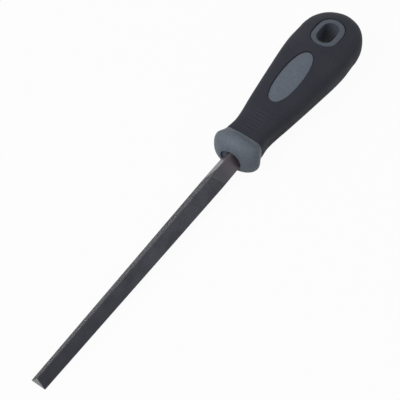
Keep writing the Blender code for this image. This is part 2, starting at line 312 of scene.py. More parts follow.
def begin(name, add, **how):
    """Add a primitive with nothing else selected, and open it in edit mode."""
    bpy.ops.object.select_all(action="DESELECT")
    add(**how)
    piece = bpy.context.object
    piece.name = name
    piece.data.name = name
    bpy.ops.object.transform_apply(location=True, rotation=True, scale=True)
    bpy.ops.object.mode_set(mode="EDIT")
    bpy.ops.mesh.select_mode(type="VERT")
    pick_all()
    return piece


def pick(piece, kind, chosen):
    """Select the vertices, edges or faces that a test chooses; there has to be one."""
    bpy.ops.mesh.select_mode(type={"verts": "VERT", "edges": "EDGE", "faces": "FACE"}[kind])
    bpy.ops.mesh.select_all(action="DESELECT")
    mesh = bmesh.from_edit_mesh(piece.data)
    found = [element for element in getattr(mesh, kind) if chosen(element)]
    for element in found:
        element.select_set(True)
    mesh.select_flush_mode()
    bmesh.update_edit_mesh(piece.data, loop_triangles=False, destructive=False)
    if not found:
        raise RuntimeError(f"nothing to select on {piece.name}")


def pick_all():
    bpy.ops.mesh.select_all(action="SELECT")


def pick_in_ring(mesh, ring, group):
    """Select a group of a ring's vertices, and deselect the rest of the ring."""
    for vert in ring:
        vert.select_set(vert in group)
    mesh.select_flush_mode()


def extrude(along=(0.0, 0.0, 0.0)):
    bpy.ops.mesh.extrude_region_move(TRANSFORM_OT_translate={"value": along})


def move(along):
    bpy.ops.transform.translate(value=along)


def resize(along, across, upright, centre=(0.0, 0.0, 0.0)):
    bpy.ops.transform.resize(value=(along, across, upright), center_override=centre)


def ratio(new, old):
    return new / old if abs(old) > SAME_PLACE else 1.0


def shape_ring(piece, at, quarter, bow):
    """Fit the selected ring to a section, one kind of point after another, with its sides bowed back."""
    mesh = bmesh.from_edit_mesh(piece.data)
    ring = [vert for vert in mesh.verts if vert.select]
    ring.sort(key=lambda vert: math.atan2(abs(vert.co.y), abs(vert.co.z)))
    start = 0
    for kind, (y, z) in enumerate(quarter):
        count = 2 if kind in (0, QUARTER_POINTS - 1) else 4
        group = ring[start : start + count]
        start += count
        pick_in_ring(mesh, ring, group)
        resize(1, ratio(y, abs(group[0].co.y)), ratio(z, abs(group[0].co.z)))
        place = at + bow * (y / quarter[-1][0]) ** BOW_POWER
        move((place - group[0].co.x, 0, 0))
    pick_in_ring(mesh, ring, ring)


def ring_cage(name, rings):
    """A tube of rings round the axis, from pairs of a place and a quarter of a section."""
    piece = begin(
        name,
        bpy.ops.mesh.primitive_circle_add,
        vertices=RING_POINTS,
        radius=RING_START_RADIUS,
        location=(rings[0][0], 0, 0),
        rotation=(0.0, math.pi / 2, 0.0),
    )
    for index, (at, quarter) in enumerate(rings):
        if index:
            extrude()
        shape_ring(piece, at, firm(quarter, MIRROR_ACROSS, MIRROR_UP), seam_bow(at))
    return piece


def crease_edges(piece, sharpness, chosen):
    pick(piece, "edges", chosen)
    bpy.ops.transform.edge_crease(value=sharpness)


def both(edge, test):
    return all(test(vert.co) for vert in edge.verts)


def off_axis(co):
    return math.hypot(co.y, co.z)


def on_end_rim(edge, facing):
    """Whether an edge bounds an end face of a ring, which looks forward (-1) or back (1)."""
    return sum(facing * face.normal.x > END_FACING for face in edge.link_faces) == 1


def smooth(piece, levels):
    """Leave edit mode, smooth the cage by subdivision and apply it."""
    bpy.ops.object.mode_set(mode="OBJECT")
    modifier = piece.modifiers.new("smooth cage", "SUBSURF")
    modifier.levels = levels
    modifier.render_levels = levels
    bpy.ops.object.modifier_apply(modifier=modifier.name)


def close_up(piece):
    """Merge the seams and turn every face outwards."""
    bpy.ops.mesh.select_mode(type="VERT")
    pick_all()
    bpy.ops.mesh.remove_doubles(threshold=SAME_PLACE)
    bpy.ops.mesh.normals_make_consistent(inside=False)


def finish_piece(piece, material, nodes, crease=SMOOTH_ANGLE):
    """Set a modelled piece in its place, and tie it to the solids that it stands for."""
    if bpy.context.mode != "OBJECT":
        bpy.ops.object.mode_set(mode="OBJECT")
    piece.location = MOUTH
    bpy.ops.object.transform_apply(location=True, rotation=True, scale=True)
    bpy.ops.object.shade_smooth_by_angle(angle=crease)
    piece.data.materials.clear()
    piece.data.materials.append(material)
    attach(piece, "root")
    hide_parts(*nodes)


# Outline of the handle


def grip_station(at):
    """The handle's section sizes at a place, on a smooth curve through the stations."""
    sizes = bpy.context.scene.handle_sizes
    stations = [Station(*getattr(sizes, name)) for name in ("rear", "neck", "waist", "palm", "belly", "tail")]
    if at <= stations[0].at:
        return stations[0]
    for index, (here, there) in enumerate(zip(stations, stations[1:])):
        if at <= there.at:
            break
    before = stations[max(index - 1, 0)]
    after = stations[min(index + 2, len(stations) - 1)]
    # A cubic from one station to the next, with slopes that their neighbours give
    span = there.at - here.at
    t = min((at - here.at) / span, 1.0)
    found = []
    for field in range(1, len(Station._fields)):
        slope_here = (there[field] - before[field]) / (there.at - before.at)
        slope_there = (after[field] - here[field]) / (after.at - here.at) if after is not there else 0.0
        found.append(
            here[field] * (2 * t**3 - 3 * t**2 + 1)
            + slope_here * span * (t**3 - 2 * t**2 + t)
            + there[field] * (3 * t**2 - 2 * t**3)
            + slope_there * span * (t**3 - t**2)
        )
    return Station(at, *found)


def butt_narrowing(at):
    """How far the section has drawn in at a place on the rounded butt."""
    tail_at = bpy.context.scene.handle_sizes.tail[0]
    if at <= tail_at:
        return 1.0
    return math.sqrt(max(1 - ((at - tail_at) / (BUTT_AT - tail_at)) ** 2, 0.0))


def seam_bow(at):
    """How far the sides are drawn back at a place, most at the seam of the collar and the sleeve."""
    sizes = bpy.context.scene.handle_sizes
    bulge_at, rear_at, neck_at = sizes.bulge[0], sizes.rear[0], sizes.neck[0]
    if at <= rear_at:
        share = (at - bulge_at) / (rear_at - bulge_at)
    else:
        share = (neck_at - at) / (neck_at - rear_at - FIT_GAP)
    share = min(max(share, 0.0), 1.0)
    return sizes.seam_bow * share * share * (3 - 2 * share)


def crown(sizes, y, inset=0.0):
    """Height of a section's crowned top over a place across the handle."""
    half_width = sizes.width / 2 - inset
    half_depth = sizes.depth / 2 - inset
    rise = half_depth - sizes.band / 2
    radius = (half_width**2 + rise**2) / (2 * rise)
    return half_depth - radius + math.sqrt(radius**2 - y**2)


def surface_height(at, y, inset=0.0):
    """Height of the handle's top over the axis, at a place along and across it."""
    narrow = butt_narrowing(at)
    return crown(grip_station(at), y / narrow, inset) * narrow ** bpy.context.scene.handle_sizes.butt_fullness


def section(sizes, inset=0.0, lift=0.0):
    """A quarter of a section: crowned on top, rounded over a ridge, then flat to the side's middle."""
    half_width = sizes.width / 2 - inset
    half_depth = sizes.depth / 2 - inset
    half_band = sizes.band / 2
    edge = min(sizes.edge, EDGE_MOST * half_band)
    rise = half_depth - half_band
    radius = (half_width**2 + rise**2) / (2 * rise)
    sweep = math.asin(half_width / radius) - edge / radius
    quarter = []
    for share in CROWN_SHARES:
        turn = sweep * share
        height = half_depth - radius * (1 - math.cos(turn)) + lift * math.sqrt(1 - share)
        quarter.append(Vector((radius * math.sin(turn), height)))
    ridge = Vector((half_width, half_band))
    end = Vector((half_width, half_band - edge))
    return quarter + [(quarter[-1] + 2 * ridge + end) / 4, end, Vector((half_width, 0.0))]


def grip_section(at, inset=0.0, lift=0.0):
    narrow = butt_narrowing(at)
    flat = narrow ** bpy.context.scene.handle_sizes.butt_fullness
    return [point * Vector((narrow, flat)) for point in section(grip_station(at), inset, lift)]


def disc(radius):
    """A quarter of a round ring."""
    turns = [math.pi / 2 * i / (QUARTER_POINTS - 1) for i in range(QUARTER_POINTS)]
    return [radius * Vector((math.sin(turn), math.cos(turn))) for turn in turns]


def blend(first, second, share):
    return [a.lerp(b, share) for a, b in zip(first, second)]


def settled(cage, first=None, last=None):
    """Where smoothing takes a row of cage points; an end has a mirrored neighbour, or else it stays."""
    before = cage[1] * Vector(first) if first else 2 * cage[0] - cage[1]
    after = cage[-2] * Vector(last) if last else 2 * cage[-1] - cage[-2]
    row = [before, *cage, after]
    return [(a + 4 * b + c) / 6 for a, b, c in zip(row, row[1:], row[2:])]


def firm(points, first=None, last=None):
    """Cage points whose smoothed curve runs through the points given."""
    cage = list(points)
    for _ in range(FIRM_ROUNDS):
        cage = [c + aim - got for c, aim, got in zip(cage, points, settled(cage, first, last))]
    return cage


def oval_outline(grow=0.0):
    """Cage of half an oval window's outline, as places along and across the handle."""
    sizes = bpy.context.scene.handle_sizes
    centre = (OVAL_LOW.x + OVAL_HIGH.x) / 2 - MOUTH.x
    half_length = OVAL_SIZE.x / 2 - sizes.oval_trim + grow
    half_width = OVAL_SIZE.y / 2 + grow
    power = 2 / sizes.oval_fullness
    points = []
    for turn in OVAL_TURNS:
        along = math.copysign(abs(math.cos(turn)) ** power, math.cos(turn))
        across = math.sin(turn) ** power
        points.append(Vector((centre - half_length * along, half_width * across)))
    return firm(points, MIRROR_UP, MIRROR_UP)


def eyelet_outline(grow=0.0):
    """Cage of half the eyelet's outline: two quarter circles and a straight side."""
    centre = (EYELET_LOW.x + EYELET_HIGH.x) / 2 - MOUTH.x
    radius = EYELET_SIZE.y / 2 + bpy.context.scene.handle_sizes.eyelet_growth + grow
    straight = (EYELET_SIZE.x - EYELET_SIZE.y) / 2
    turns = [math.radians(degrees) for degrees in EYELET_TURNS]
    front = [(-straight - radius * math.cos(t), radius * math.sin(t)) for t in turns]
    rear = [(-x, y) for x, y in reversed(front)]
    points = [Vector((centre + x, y)) for x, y in front + [(0.0, radius)] + rear]
    return firm(points, MIRROR_UP, MIRROR_UP)


# Blade


def taper(piece, factor, start):
    """Narrow a bar evenly from its rear end, on the part behind a start."""
    modifier = piece.modifiers.new("taper", "SIMPLE_DEFORM")
    modifier.deform_method = "TAPER"
    modifier.deform_axis = "X"
    modifier.factor = factor
    modifier.limits = (start, 1.0)
    bpy.ops.object.modifier_apply(modifier=modifier.name)


def model_blade(sizes):
    """One tooth copied along a face, the face turned to three sides, the ends cut and the tang drawn out."""
    half_face = sizes.mouth_side / 2 - sizes.land
    face_height = sizes.mouth_side / (2 * math.sqrt(3))
    teeth_across = round(2 * half_face * math.tan(sizes.slant) / sizes.pitch)
    lean = -teeth_across * sizes.pitch / (2 * half_face)
    overrun = half_face * abs(lean) + 2 * sizes.pitch
    start = -sizes.length - overrun
    teeth = math.ceil((sizes.length + 2 * overrun) / sizes.pitch)

    add = bpy.ops.mesh.primitive_grid_add
    piece = begin("toothed_blade", add, x_subdivisions=3, y_subdivisions=4, size=2.0)
    foot = sizes.pitch - sizes.depth * math.tan(sizes.rake)
    columns = (0.0, sizes.crest, foot, sizes.pitch)
    inner = half_face - sizes.run_out
    # A land ends at the next face's edge, which is this face's edge turned by a third
    land_y = half_face / 2 + face_height * math.sqrt(3) / 2
    land_drop = half_face * math.sqrt(3) / 2 - face_height / 2 - face_height
    rows = (-half_face, -inner, inner, half_face, land_y)
    # Placed columns and rows wait aside, clear of those that are still to be picked
    for i in reversed(range(len(columns))):
        grid_x = 2 * i / (len(columns) - 1) - 1
        pick(piece, "verts", lambda v: abs(v.co.x - grid_x) < SAME_PLACE)
        move((columns[i] - grid_x + ASIDE, 0, 0))
    pick_all()
    move((-ASIDE, 0, 0))
    for i in reversed(range(len(rows))):
        grid_y = 2 * i / (len(rows) - 1) - 1
        pick(piece, "verts", lambda v: abs(v.co.y - grid_y) < SAME_PLACE)
        move((min(rows[i], half_face) * lean, rows[i] - grid_y + ASIDE, 0))
    pick_all()
    move((start, -ASIDE, face_height))
    pick(piece, "verts", lambda v: v.co.y > half_face + SAME_PLACE)
    move((0, 0, land_drop))

    bpy.ops.object.mode_set(mode="OBJECT")
    for name in ("groove", "heel"):
        bpy.ops.geometry.attribute_add(name=name, domain="POINT", data_type="FLOAT")
    array = piece.modifiers.new("teeth along a face", "ARRAY")
    array.count = teeth
    array.use_relative_offset = False
    array.use_constant_offset = True
    array.constant_offset_displace = (sizes.pitch, 0, 0)
    array.use_merge_vertices = True
    array.merge_threshold = SAME_PLACE / 10
    bpy.ops.object.modifier_apply(modifier=array.name)
    bpy.ops.object.mode_set(mode="EDIT")

    def groove_foot(vert):
        if abs(vert.co.y) > inner + SAME_PLACE:
            return False
        tooth = (vert.co.x - vert.co.y * lean - start) / sizes.pitch
        return abs(tooth % 1 - foot / sizes.pitch) < TOOTH_MATCH

    def is_heel(vert):
        return vert.co.x - max(min(vert.co.y, half_face), -half_face) * lean > -sizes.uncut_heel

    pick(piece, "verts", lambda v: groove_foot(v) and not is_heel(v))
    move((0, 0, -sizes.depth))
    piece.data.attributes.active = piece.data.attributes["groove"]
    bpy.ops.mesh.attribute_set(value_float=1.0)
    pick(piece, "verts", is_heel)
    piece.data.attributes.active = piece.data.attributes["heel"]
    bpy.ops.mesh.attribute_set(value_float=1.0)

    pick_all()
    bpy.ops.transform.rotate(value=math.pi, orient_axis="X", center_override=(0, 0, 0))
    for _ in range(2):
        bpy.ops.mesh.duplicate()
        bpy.ops.transform.rotate(value=2 * math.pi / 3, orient_axis="X", center_override=(0, 0, 0))
    close_up(piece)
    for at, facing in ((-sizes.length, -1), (0, 1)):
        pick_all()
        cut = {"plane_co": (at, 0, 0), "plane_no": (facing, 0, 0), "threshold": SAME_PLACE / 100}
        bpy.ops.mesh.bisect(**cut, use_fill=True, clear_outer=True)

    bpy.ops.object.mode_set(mode="OBJECT")
    taper(piece, 1 - sizes.tip_side / sizes.mouth_side, 0.0)
    taper(piece, 1 - sizes.mouth_side / sizes.heel_side, 1 - sizes.uncut_heel / sizes.length)
    bpy.ops.object.mode_set(mode="EDIT")
    share = sizes.heel_side / sizes.mouth_side
    pick_all()
    resize(1, share, share)

    tang_end = BLADE_HIGH.x - MOUTH.x
    pick(piece, "faces", lambda f: abs(f.calc_center_median().x) < SAME_PLACE and f.normal.x > END_FACING)
    extrude((sizes.tang_root_at, 0, 0))
    share = sizes.tang_root_side / sizes.heel_side
    resize(1, share, share)
    extrude((tang_end - sizes.tang_root_at, 0, 0))
    share = sizes.tang_end_side / sizes.tang_root_side
    resize(1, share, share)
    pick_all()
    bpy.ops.transform.rotate(value=-sizes.turn, orient_axis="X", center_override=(0, 0, 0))
    bpy.ops.transform.rotate(value=sizes.skew, orient_axis="Z", center_override=(-sizes.skew_at, 0, 0))
    return piece


# Handle


def model_collar(sizes):
    """Rings from the mouth's wall over the bulge to the neck, and back along the bore; the mouth set low."""
    bulge = Station(*sizes.bulge)
    rear_at = COLLAR_HIGH.x - MOUTH.x
    lip = disc(sizes.mouth_radius + sizes.mouth_rounding)
    mouth = disc(sizes.mouth_radius)
    full = section(bulge)
    rear = grip_section(rear_at)
    opening = disc(sizes.web_radius)
    knee = MOUTH_KNEE * sizes.mouth_rounding
    rings = [
        (sizes.bore_at, opening),
        (sizes.web_at, opening),
        (sizes.web_at, mouth),
        (MOUTH_WALL_START * sizes.mouth_rounding, mouth),
        (knee, disc(sizes.mouth_radius + knee)),
        (0.0, lip),
    ]
    for degrees in NOSE_TURNS:
        turn = math.radians(degrees)
        share = math.sin(turn) ** (1 / sizes.nose_fullness)
        rings.append((bulge.at * (1 - math.cos(turn)), blend(lip, full, share)))
    for share in NECK_SHARES:
        ease = share * share * (3 - 2 * share)
        rings.append((bulge.at + (rear_at - bulge.at) * share, blend(full, rear, ease)))
    rings.append((rear_at, disc(sizes.bore_radius)))
    rings.append((sizes.bore_at, disc(sizes.bore_radius)))
    piece = ring_cage("grey_collar", rings)
    in_bore = 1.05 * sizes.bore_radius
    by_mouth = 1.2 * sizes.mouth_radius

    def at_shoulder(co):
        return abs(co.x - sizes.bore_at) < SAME_PLACE and off_axis(co) < in_bore

    def at_rear(co):
        return co.x > rear_at - SAME_PLACE

    pick(piece, "edges", lambda e: e.is_boundary and both(e, at_shoulder))
    bpy.ops.mesh.bridge_edge_loops()
    close_up(piece)
    crease_edges(piece, END_CREASE, lambda e: both(e, at_rear) and on_end_rim(e, 1))
    pick(piece, "verts", lambda v: off_axis(v.co) < by_mouth and v.co.x < sizes.bore_at / 2)
    move((0, 0, -sizes.mouth_drop))
    smooth(piece, levels=3)
    return piece


def grip_places(sizes):
    """Where the sleeve's cage rings lie, with the lift of the ribs at each."""
    front = sizes.rear[0] + FIT_GAP
    places = [(front, 0.0), (front + sizes.front_edge, 0.0), (front + 3 * sizes.front_edge, 0.0)]
    for i in range(2 * sizes.rib_count + 1):
        lift = sizes.rib_height if i % 2 else 0.0
        places.append((sizes.rib_start + i * sizes.rib_pitch / 2, lift))
    oval = oval_outline(FIT_GAP)
    eyelet = eyelet_outline(FIT_GAP)
    places.append(((places[-1][0] + oval[0][0]) / 2, 0.0))
    places += [(at, 0.0) for at, y in oval[1:-1]]
    places.append(((oval[-1][0] + eyelet[0][0]) / 2, 0.0))
    places += [(at, 0.0) for at, y in eyelet[1:-1]]
    tail_at = sizes.tail[0]
    for degrees in BUTT_TURNS:
        places.append((tail_at + (BUTT_AT - tail_at) * math.sin(math.radians(degrees)), 0.0))
    return places


def grip_rings(sizes, inset=0.0, ribbed=False):
    """Cage rings whose smoothed tube has the handle's sections."""
    places = [(at, lift * ribbed) for at, lift in grip_places(sizes) if at < BUTT_AT - inset]
    cage_at = [at for at, lift in places]
    tube_at = [point.x for point in settled([Vector((at, 0.0)) for at in cage_at])]
    quarters = [grip_section(at, inset, lift) for at, (_, lift) in zip(tube_at, places)]
    lines = [firm(line) for line in zip(*quarters)]
    return list(zip(cage_at, zip(*lines)))


def open_window(piece, outline, inset):
    """Open a window above and below, and draw its border out to the outline."""
    first, last = outline[1][0], outline[-2][0]

    def in_window(vert):
        return first - SAME_PLACE < vert.co.x < last + SAME_PLACE

    def on_top(vert):
        return abs(vert.co.y) < SAME_PLACE

    pick(piece, "faces", lambda f: all(map(in_window, f.verts)) and any(map(on_top, f.verts)))
    bpy.ops.mesh.delete(type="FACE")
    for k, (at, y) in enumerate(outline):
        ring_at = min(max(at, first), last)
        at_end = k in (0, len(outline) - 1)

        def on_border(vert):
            if abs(vert.co.x - ring_at) > SAME_PLACE or not vert.is_boundary:
                return False
            return on_top(vert) == at_end

        pick(piece, "verts", on_border)
        mesh = bmesh.from_edit_mesh(piece.data)
        old = next(vert.co.copy() for vert in mesh.verts if vert.select)
        resize(1, ratio(y, abs(old.y)), ratio(surface_height(at, y, inset), abs(old.z)))
        move((at - ring_at, 0, 0))


def tube_with_windows(name, sizes, inset, ribbed, outlines):
    piece = ring_cage(name, grip_rings(sizes, inset, ribbed))
    bpy.ops.mesh.edge_face_add()
    for outline in outlines:
        open_window(piece, outline, inset)
    return piece


def window_side(outline, side):
    """A test for places within a window's length, above (1) or below (-1) the axis."""
    low, high = outline[0][0] - SAME_PLACE, outline[-1][0] + SAME_PLACE
    return lambda co: low < co.x < high and side * co.z > 0


def model_grip(sizes):
    """A ribbed tube and its lining, each with windows, joined at the windows and the front."""
    outlines = [oval_outline(FIT_GAP), eyelet_outline(FIT_GAP)]
    lining = tube_with_windows("grip_lining", sizes, sizes.wall, False, outlines)
    bpy.ops.object.mode_set(mode="OBJECT")
    piece = tube_with_windows("black_grip", sizes, 0.0, True, outlines)
    bpy.ops.object.mode_set(mode="OBJECT")
    lining.select_set(True)
    bpy.ops.object.join()
    bpy.ops.object.mode_set(mode="EDIT")
    windows = [window_side(outline, side) for outline in outlines for side in (1, -1)]

    def in_front(co):
        return co.x < sizes.rib_start

    def in_window(co):
        return any(inside(co) for inside in windows)

    for inside in (in_front, *windows):
        pick(piece, "edges", lambda e: e.is_boundary and both(e, inside))
        bpy.ops.mesh.bridge_edge_loops()
    close_up(piece)
    crease_edges(piece, WINDOW_CREASE, lambda e: both(e, in_window) and e.calc_face_angle(0.0) > SQUARE_ANGLE)
    crease_edges(piece, END_CREASE, lambda e: both(e, in_front) and on_end_rim(e, -1))
    smooth(piece, levels=2)
    return piece


def handle_form(sizes, inset):
    """The plain form of the handle, to lay other pieces on."""
    piece = ring_cage("handle_form", grip_rings(sizes, inset))
    smooth(piece, levels=2)
    return piece


def lay_on(piece, form, group=""):
    """Drop a piece, or a group of its vertices, on a form along Z, and remove the form."""
    modifier = piece.modifiers.new("lay on the handle", "SHRINKWRAP")
    modifier.target = form
    modifier.wrap_method = "PROJECT"
    modifier.use_project_z = True
    modifier.use_positive_direction = True
    modifier.use_negative_direction = True
    modifier.vertex_group = group
    bpy.ops.object.select_all(action="DESELECT")
    bpy.context.view_layer.objects.active = piece
    piece.select_set(True)
    bpy.ops.object.modifier_apply(modifier=modifier.name)
    bpy.data.objects.remove(form)


def model_inlay(sizes):
    """An oval plate, laid on the handle and given its thickness."""
    form = handle_form(sizes, sizes.inlay_recess)
    add = bpy.ops.mesh.primitive_circle_add
    piece = begin("upper_oval", add, vertices=2 * OUTLINE_STEPS, radius=1.0, location=(0, 0, 0))
    for turn, (at, y) in zip(OVAL_TURNS, oval_outline()):
        pick(piece, "verts", lambda v: abs(v.co.x + math.cos(turn)) < SAME_PLACE)
        resize(1, ratio(y, math.sin(turn)), 1)
        move((at + math.cos(turn), 0, sizes.belly[2]))
    pick_all()
    bpy.ops.mesh.fill_grid(span=OUTLINE_STEPS // 2)
    smooth(piece, levels=3)
    lay_on(piece, form)
    bpy.ops.object.mode_set(mode="EDIT")
    pick_all()
    extrude((0, 0, -sizes.inlay_thickness))
    close_up(piece)
    pick(piece, "edges", lambda e: e.calc_face_angle(0.0) > SQUARE_ANGLE)
    bpy.ops.mesh.bevel(offset=INLAY_ROUNDING, segments=3, affect="EDGES")
    return piece


def model_eyelet(sizes):
    """A ring round the hanging hole, pulled long, dished at the top and mirrored below."""
    form = handle_form(sizes, sizes.eyelet_recess)
    centre = (EYELET_LOW.x + EYELET_HIGH.x) / 2 - MOUTH.x
    radius = sizes.hole_width / 2
    straight = (sizes.hole_length - sizes.hole_width) / 2
    wall = EYELET_SIZE.y / 2 + sizes.eyelet_growth - radius
    top = surface_height(centre, 0.0)
    add = bpy.ops.mesh.primitive_circle_add
    piece = begin("hanging_eyelet_bush", add, vertices=RING_POINTS, radius=radius)
    for side in (1, -1):
        pick(piece, "verts", lambda v: side * v.co.x > SAME_PLACE)
        move((side * straight, 0, 0))
    pick_all()

    def next_ring(old_radius, new_radius, rise):
        """Extrude the ring, and spread each of its ends from that end's centre."""
        extrude((0, 0, rise))
        mesh = bmesh.from_edit_mesh(piece.data)
        ring = [vert for vert in mesh.verts if vert.select]
        share = new_radius / old_radius
        for side in (1, 0, -1):
            end = [v for v in ring if (v.co.x > SAME_PLACE) - (v.co.x < -SAME_PLACE) == side]
            pick_in_ring(mesh, ring, end)
            resize(share, share, 1, (side * straight, 0, 0))
        pick_in_ring(mesh, ring, ring)

    rim_in = radius + wall - sizes.eyelet_rim
    next_ring(radius, radius, top - sizes.dish_depth - DISH_WALL)
    next_ring(radius, radius, DISH_WALL)
    next_ring(radius, rim_in, sizes.dish_depth)
    bpy.ops.object.vertex_group_add()
    bpy.ops.object.vertex_group_assign()
    next_ring(rim_in, radius + wall, 0.0)
    bpy.ops.object.vertex_group_assign()
    next_ring(radius + wall, radius + wall, -top)
    bpy.ops.object.vertex_group_remove_from()
    pick_all()
    move((centre, 0, 0))
    bpy.ops.object.mode_set(mode="OBJECT")
    lay_on(piece, form, piece.vertex_groups[0].name)
    mirror = piece.modifiers.new("lower end", "MIRROR")
    mirror.use_axis = (False, False, True)
    mirror.merge_threshold = SAME_PLACE
    bpy.ops.object.modifier_apply(modifier=mirror.name)
    bpy.ops.object.mode_set(mode="EDIT")
    close_up(piece)
    crease_edges(piece, EYELET_CREASE, lambda e: e.calc_face_angle(0.0) > DISH_ANGLE)
    smooth(piece, levels=3)
    piece.vertex_groups.clear()
    return piece


# Finishes


def new_group(name, inputs, outputs):
    """An empty shader node group with its sockets."""
    group = bpy.data.node_groups.new(name, "ShaderNodeTree")
    for in_out, sockets in (("INPUT", inputs), ("OUTPUT", outputs)):
        for socket, kind in sockets.items():
            group.interface.new_socket(socket, in_out=in_out, socket_type=kind)
    return group, Nodes(group)


class Nodes:
    """Short ways to add and join nodes in one tree."""

    def __init__(self, tree):
        self.tree = tree

    def add(self, kind, inputs=None, **settings):
        node = self.tree.nodes.new(kind)
        for name, value in settings.items():
            setattr(node, name, value)
        for name, value in (inputs or {}).items():
            self.feed(node, name, value)
        return node

    def feed(self, node, name, value):
        socket = node.inputs[name]
        if isinstance(value, bpy.types.NodeSocket):
            self.tree.links.new(value, socket)
        else:
            socket.default_value = value

    def math(self, operation, first, second=0.0, clamp=False):
        node = self.add("ShaderNodeMath", {0: first, 1: second}, operation=operation, use_clamp=clamp)
        return node.outputs[0]

    def span(self, value, low, high, to_low=0.0, to_high=1.0):
        """A value spread from one range to another, and kept in it."""
        inputs = {"Value": value, "From Min": low, "From Max": high, "To Min": to_low, "To Max": to_high}
        return self.add("ShaderNodeMapRange", inputs).outputs[0]

    def mix(self, share, first, second):
        node = self.add("ShaderNodeMix", data_type="RGBA")
        for index, value in ((0, share), (6, first), (7, second)):
            self.feed(node, index, value)
        return node.outputs[2]

    def noise(self, vector, scale, detail=2.0, roughness=0.5):
        inputs = {"Vector": vector, "Scale": scale, "Detail": detail, "Roughness": roughness}
        return self.add("ShaderNodeTexNoise", inputs).outputs["Fac"]

    def place(self):
        return self.add("ShaderNodeTexCoord").outputs["Object"]

    def attribute(self, name):
        return self.add("ShaderNodeAttribute", attribute_name=name).outputs["Fac"]

    def group(self, tree, **inputs):
        return self.add("ShaderNodeGroup", inputs, node_tree=tree).outputs

    def bump(self, strength, distance, height):
        inputs = {"Strength": strength, "Distance": distance, "Height": height}
        return self.add("ShaderNodeBump", inputs).outputs[0]

    def seen(self):
        """1 for rays by which the camera sees a thing, straight, mirrored or through glass."""
        light = self.add("ShaderNodeLightPath").outputs
        seen = self.math("MAXIMUM", light["Is Camera Ray"], light["Is Glossy Ray"])
        return self.math("MAXIMUM", seen, light["Is Transmission Ray"])


def mould_grain():
    """Fine spark-eroded grain of a moulded surface: its height, a mask of its pits and soft patches."""
    made = bpy.data.node_groups.get("mould_grain")
    if made:
        return made
    inputs = {"Vector": "NodeSocketVector", "Scale": "NodeSocketFloat"}
    outputs = dict.fromkeys(("Height", "Pits", "Mottle"), "NodeSocketFloat")
    group, nodes = new_group("mould_grain", inputs, outputs)
    given = nodes.add("NodeGroupInput").outputs
    fine = nodes.noise(given["Vector"], given["Scale"], 3.0, 0.6)
    coarse = nodes.noise(given["Vector"], nodes.math("MULTIPLY", given["Scale"], GRAIN_COARSE))
    patches = nodes.noise(given["Vector"], nodes.math("MULTIPLY", given["Scale"], GRAIN_PATCHES))
    fine_part = nodes.math("MULTIPLY", fine, GRAIN_FINE_SHARE)
    height = nodes.math("ADD", fine_part, nodes.math("MULTIPLY", coarse, 1 - GRAIN_FINE_SHARE))
    pits = nodes.span(height, *PIT_RANGE)
    mottle = nodes.span(patches, *PATCH_RANGE)
    nodes.add("NodeGroupOutput", {"Height": height, "Pits": pits, "Mottle": mottle})
    return group


def handling_marks():
    """Soft smudges and sparse fine scuffs, as masks."""
    made = bpy.data.node_groups.get("handling_marks")
    if made:
        return made
    inputs = {"Vector": "NodeSocketVector", "Size": "NodeSocketFloat"}
    outputs = dict.fromkeys(("Smudge", "Scuff"), "NodeSocketFloat")
    group, nodes = new_group("handling_marks", inputs, outputs)
    given = nodes.add("NodeGroupInput").outputs
    cloud = nodes.noise(given["Vector"], given["Size"], 4.0, 0.6)
    stretch = nodes.add("ShaderNodeMapping", {"Vector": given["Vector"], "Scale": SCUFF_STRETCH})
    lines = nodes.noise(stretch.outputs[0], nodes.math("MULTIPLY", given["Size"], SCUFF_FINENESS), 3.0, 0.7)
    scuff = nodes.math("MULTIPLY", nodes.span(lines, *SCUFF_RANGE), nodes.span(cloud, *SCUFF_PLACES))
    nodes.add("NodeGroupOutput", {"Smudge": nodes.span(cloud, *SMUDGE_RANGE), "Scuff": scuff})
    return group


def shaded(tone, factor):
    """A tone made darker or lighter, as a colour with alpha."""
    return (tone[0] * factor, tone[1] * factor, tone[2] * factor, 1.0)


def start_material(name):
    """A material with its nodes and its Principled shader."""
    made = bpy.data.materials.new(name)
    made.use_nodes = True
    return made, Nodes(made.node_tree), made.node_tree.nodes["Principled BSDF"]


def moulded(name, tone, look):
    """A matte moulded finish: grain with darker pits, soft patches, smudges and scuffs."""
    made = bpy.data.materials.get(name)
    if made:
        return made
    made, nodes, shader = start_material(name)
    place = nodes.place()
    grain = nodes.group(mould_grain(), Vector=place, Scale=look.grain)
    marks = nodes.group(handling_marks(), Vector=place, Size=look.marks)
    patchy = nodes.mix(grain["Mottle"], shaded(tone, look.dark), shaded(tone, look.light))
    smudges = nodes.math("MULTIPLY", marks["Smudge"], SMUDGE_SHARE)
    base = nodes.mix(smudges, patchy, shaded(tone, look.smudge))
    pitted = nodes.mix(nodes.math("MULTIPLY", grain["Pits"], PIT_SHARE), base, shaded(tone, look.pit))
    scuffs = nodes.math("MULTIPLY", marks["Scuff"], look.scuffs)
    nodes.feed(shader, "Base Color", nodes.mix(scuffs, pitted, shaded(tone, look.scuff)))
    nodes.feed(shader, "Roughness", nodes.span(marks["Smudge"], 0.0, 1.0, *look.roughness))
    shader.inputs["Specular IOR Level"].default_value = MOULDED_SPECULAR
    nodes.feed(shader, "Normal", nodes.bump(look.bump, look.bump_depth, grain["Height"]))
    return made


def grey_plastic(finish="grey"):
    """Matte blue-grey moulding with a fine, speckled grain, in the collar's grey or in the eyelet's grey
    darkened as painted shade.
    """
    tone = getattr(bpy.context.scene.file_finishes, finish)
    return moulded(f"matte_{finish}_plastic", tone, GREY_MOULDING)


def soft_black():
    """Matte soft-touch sleeve: close grain, faint bloom and rubbed places."""
    return moulded("soft_black_grip", bpy.context.scene.file_finishes.black, BLACK_MOULDING)


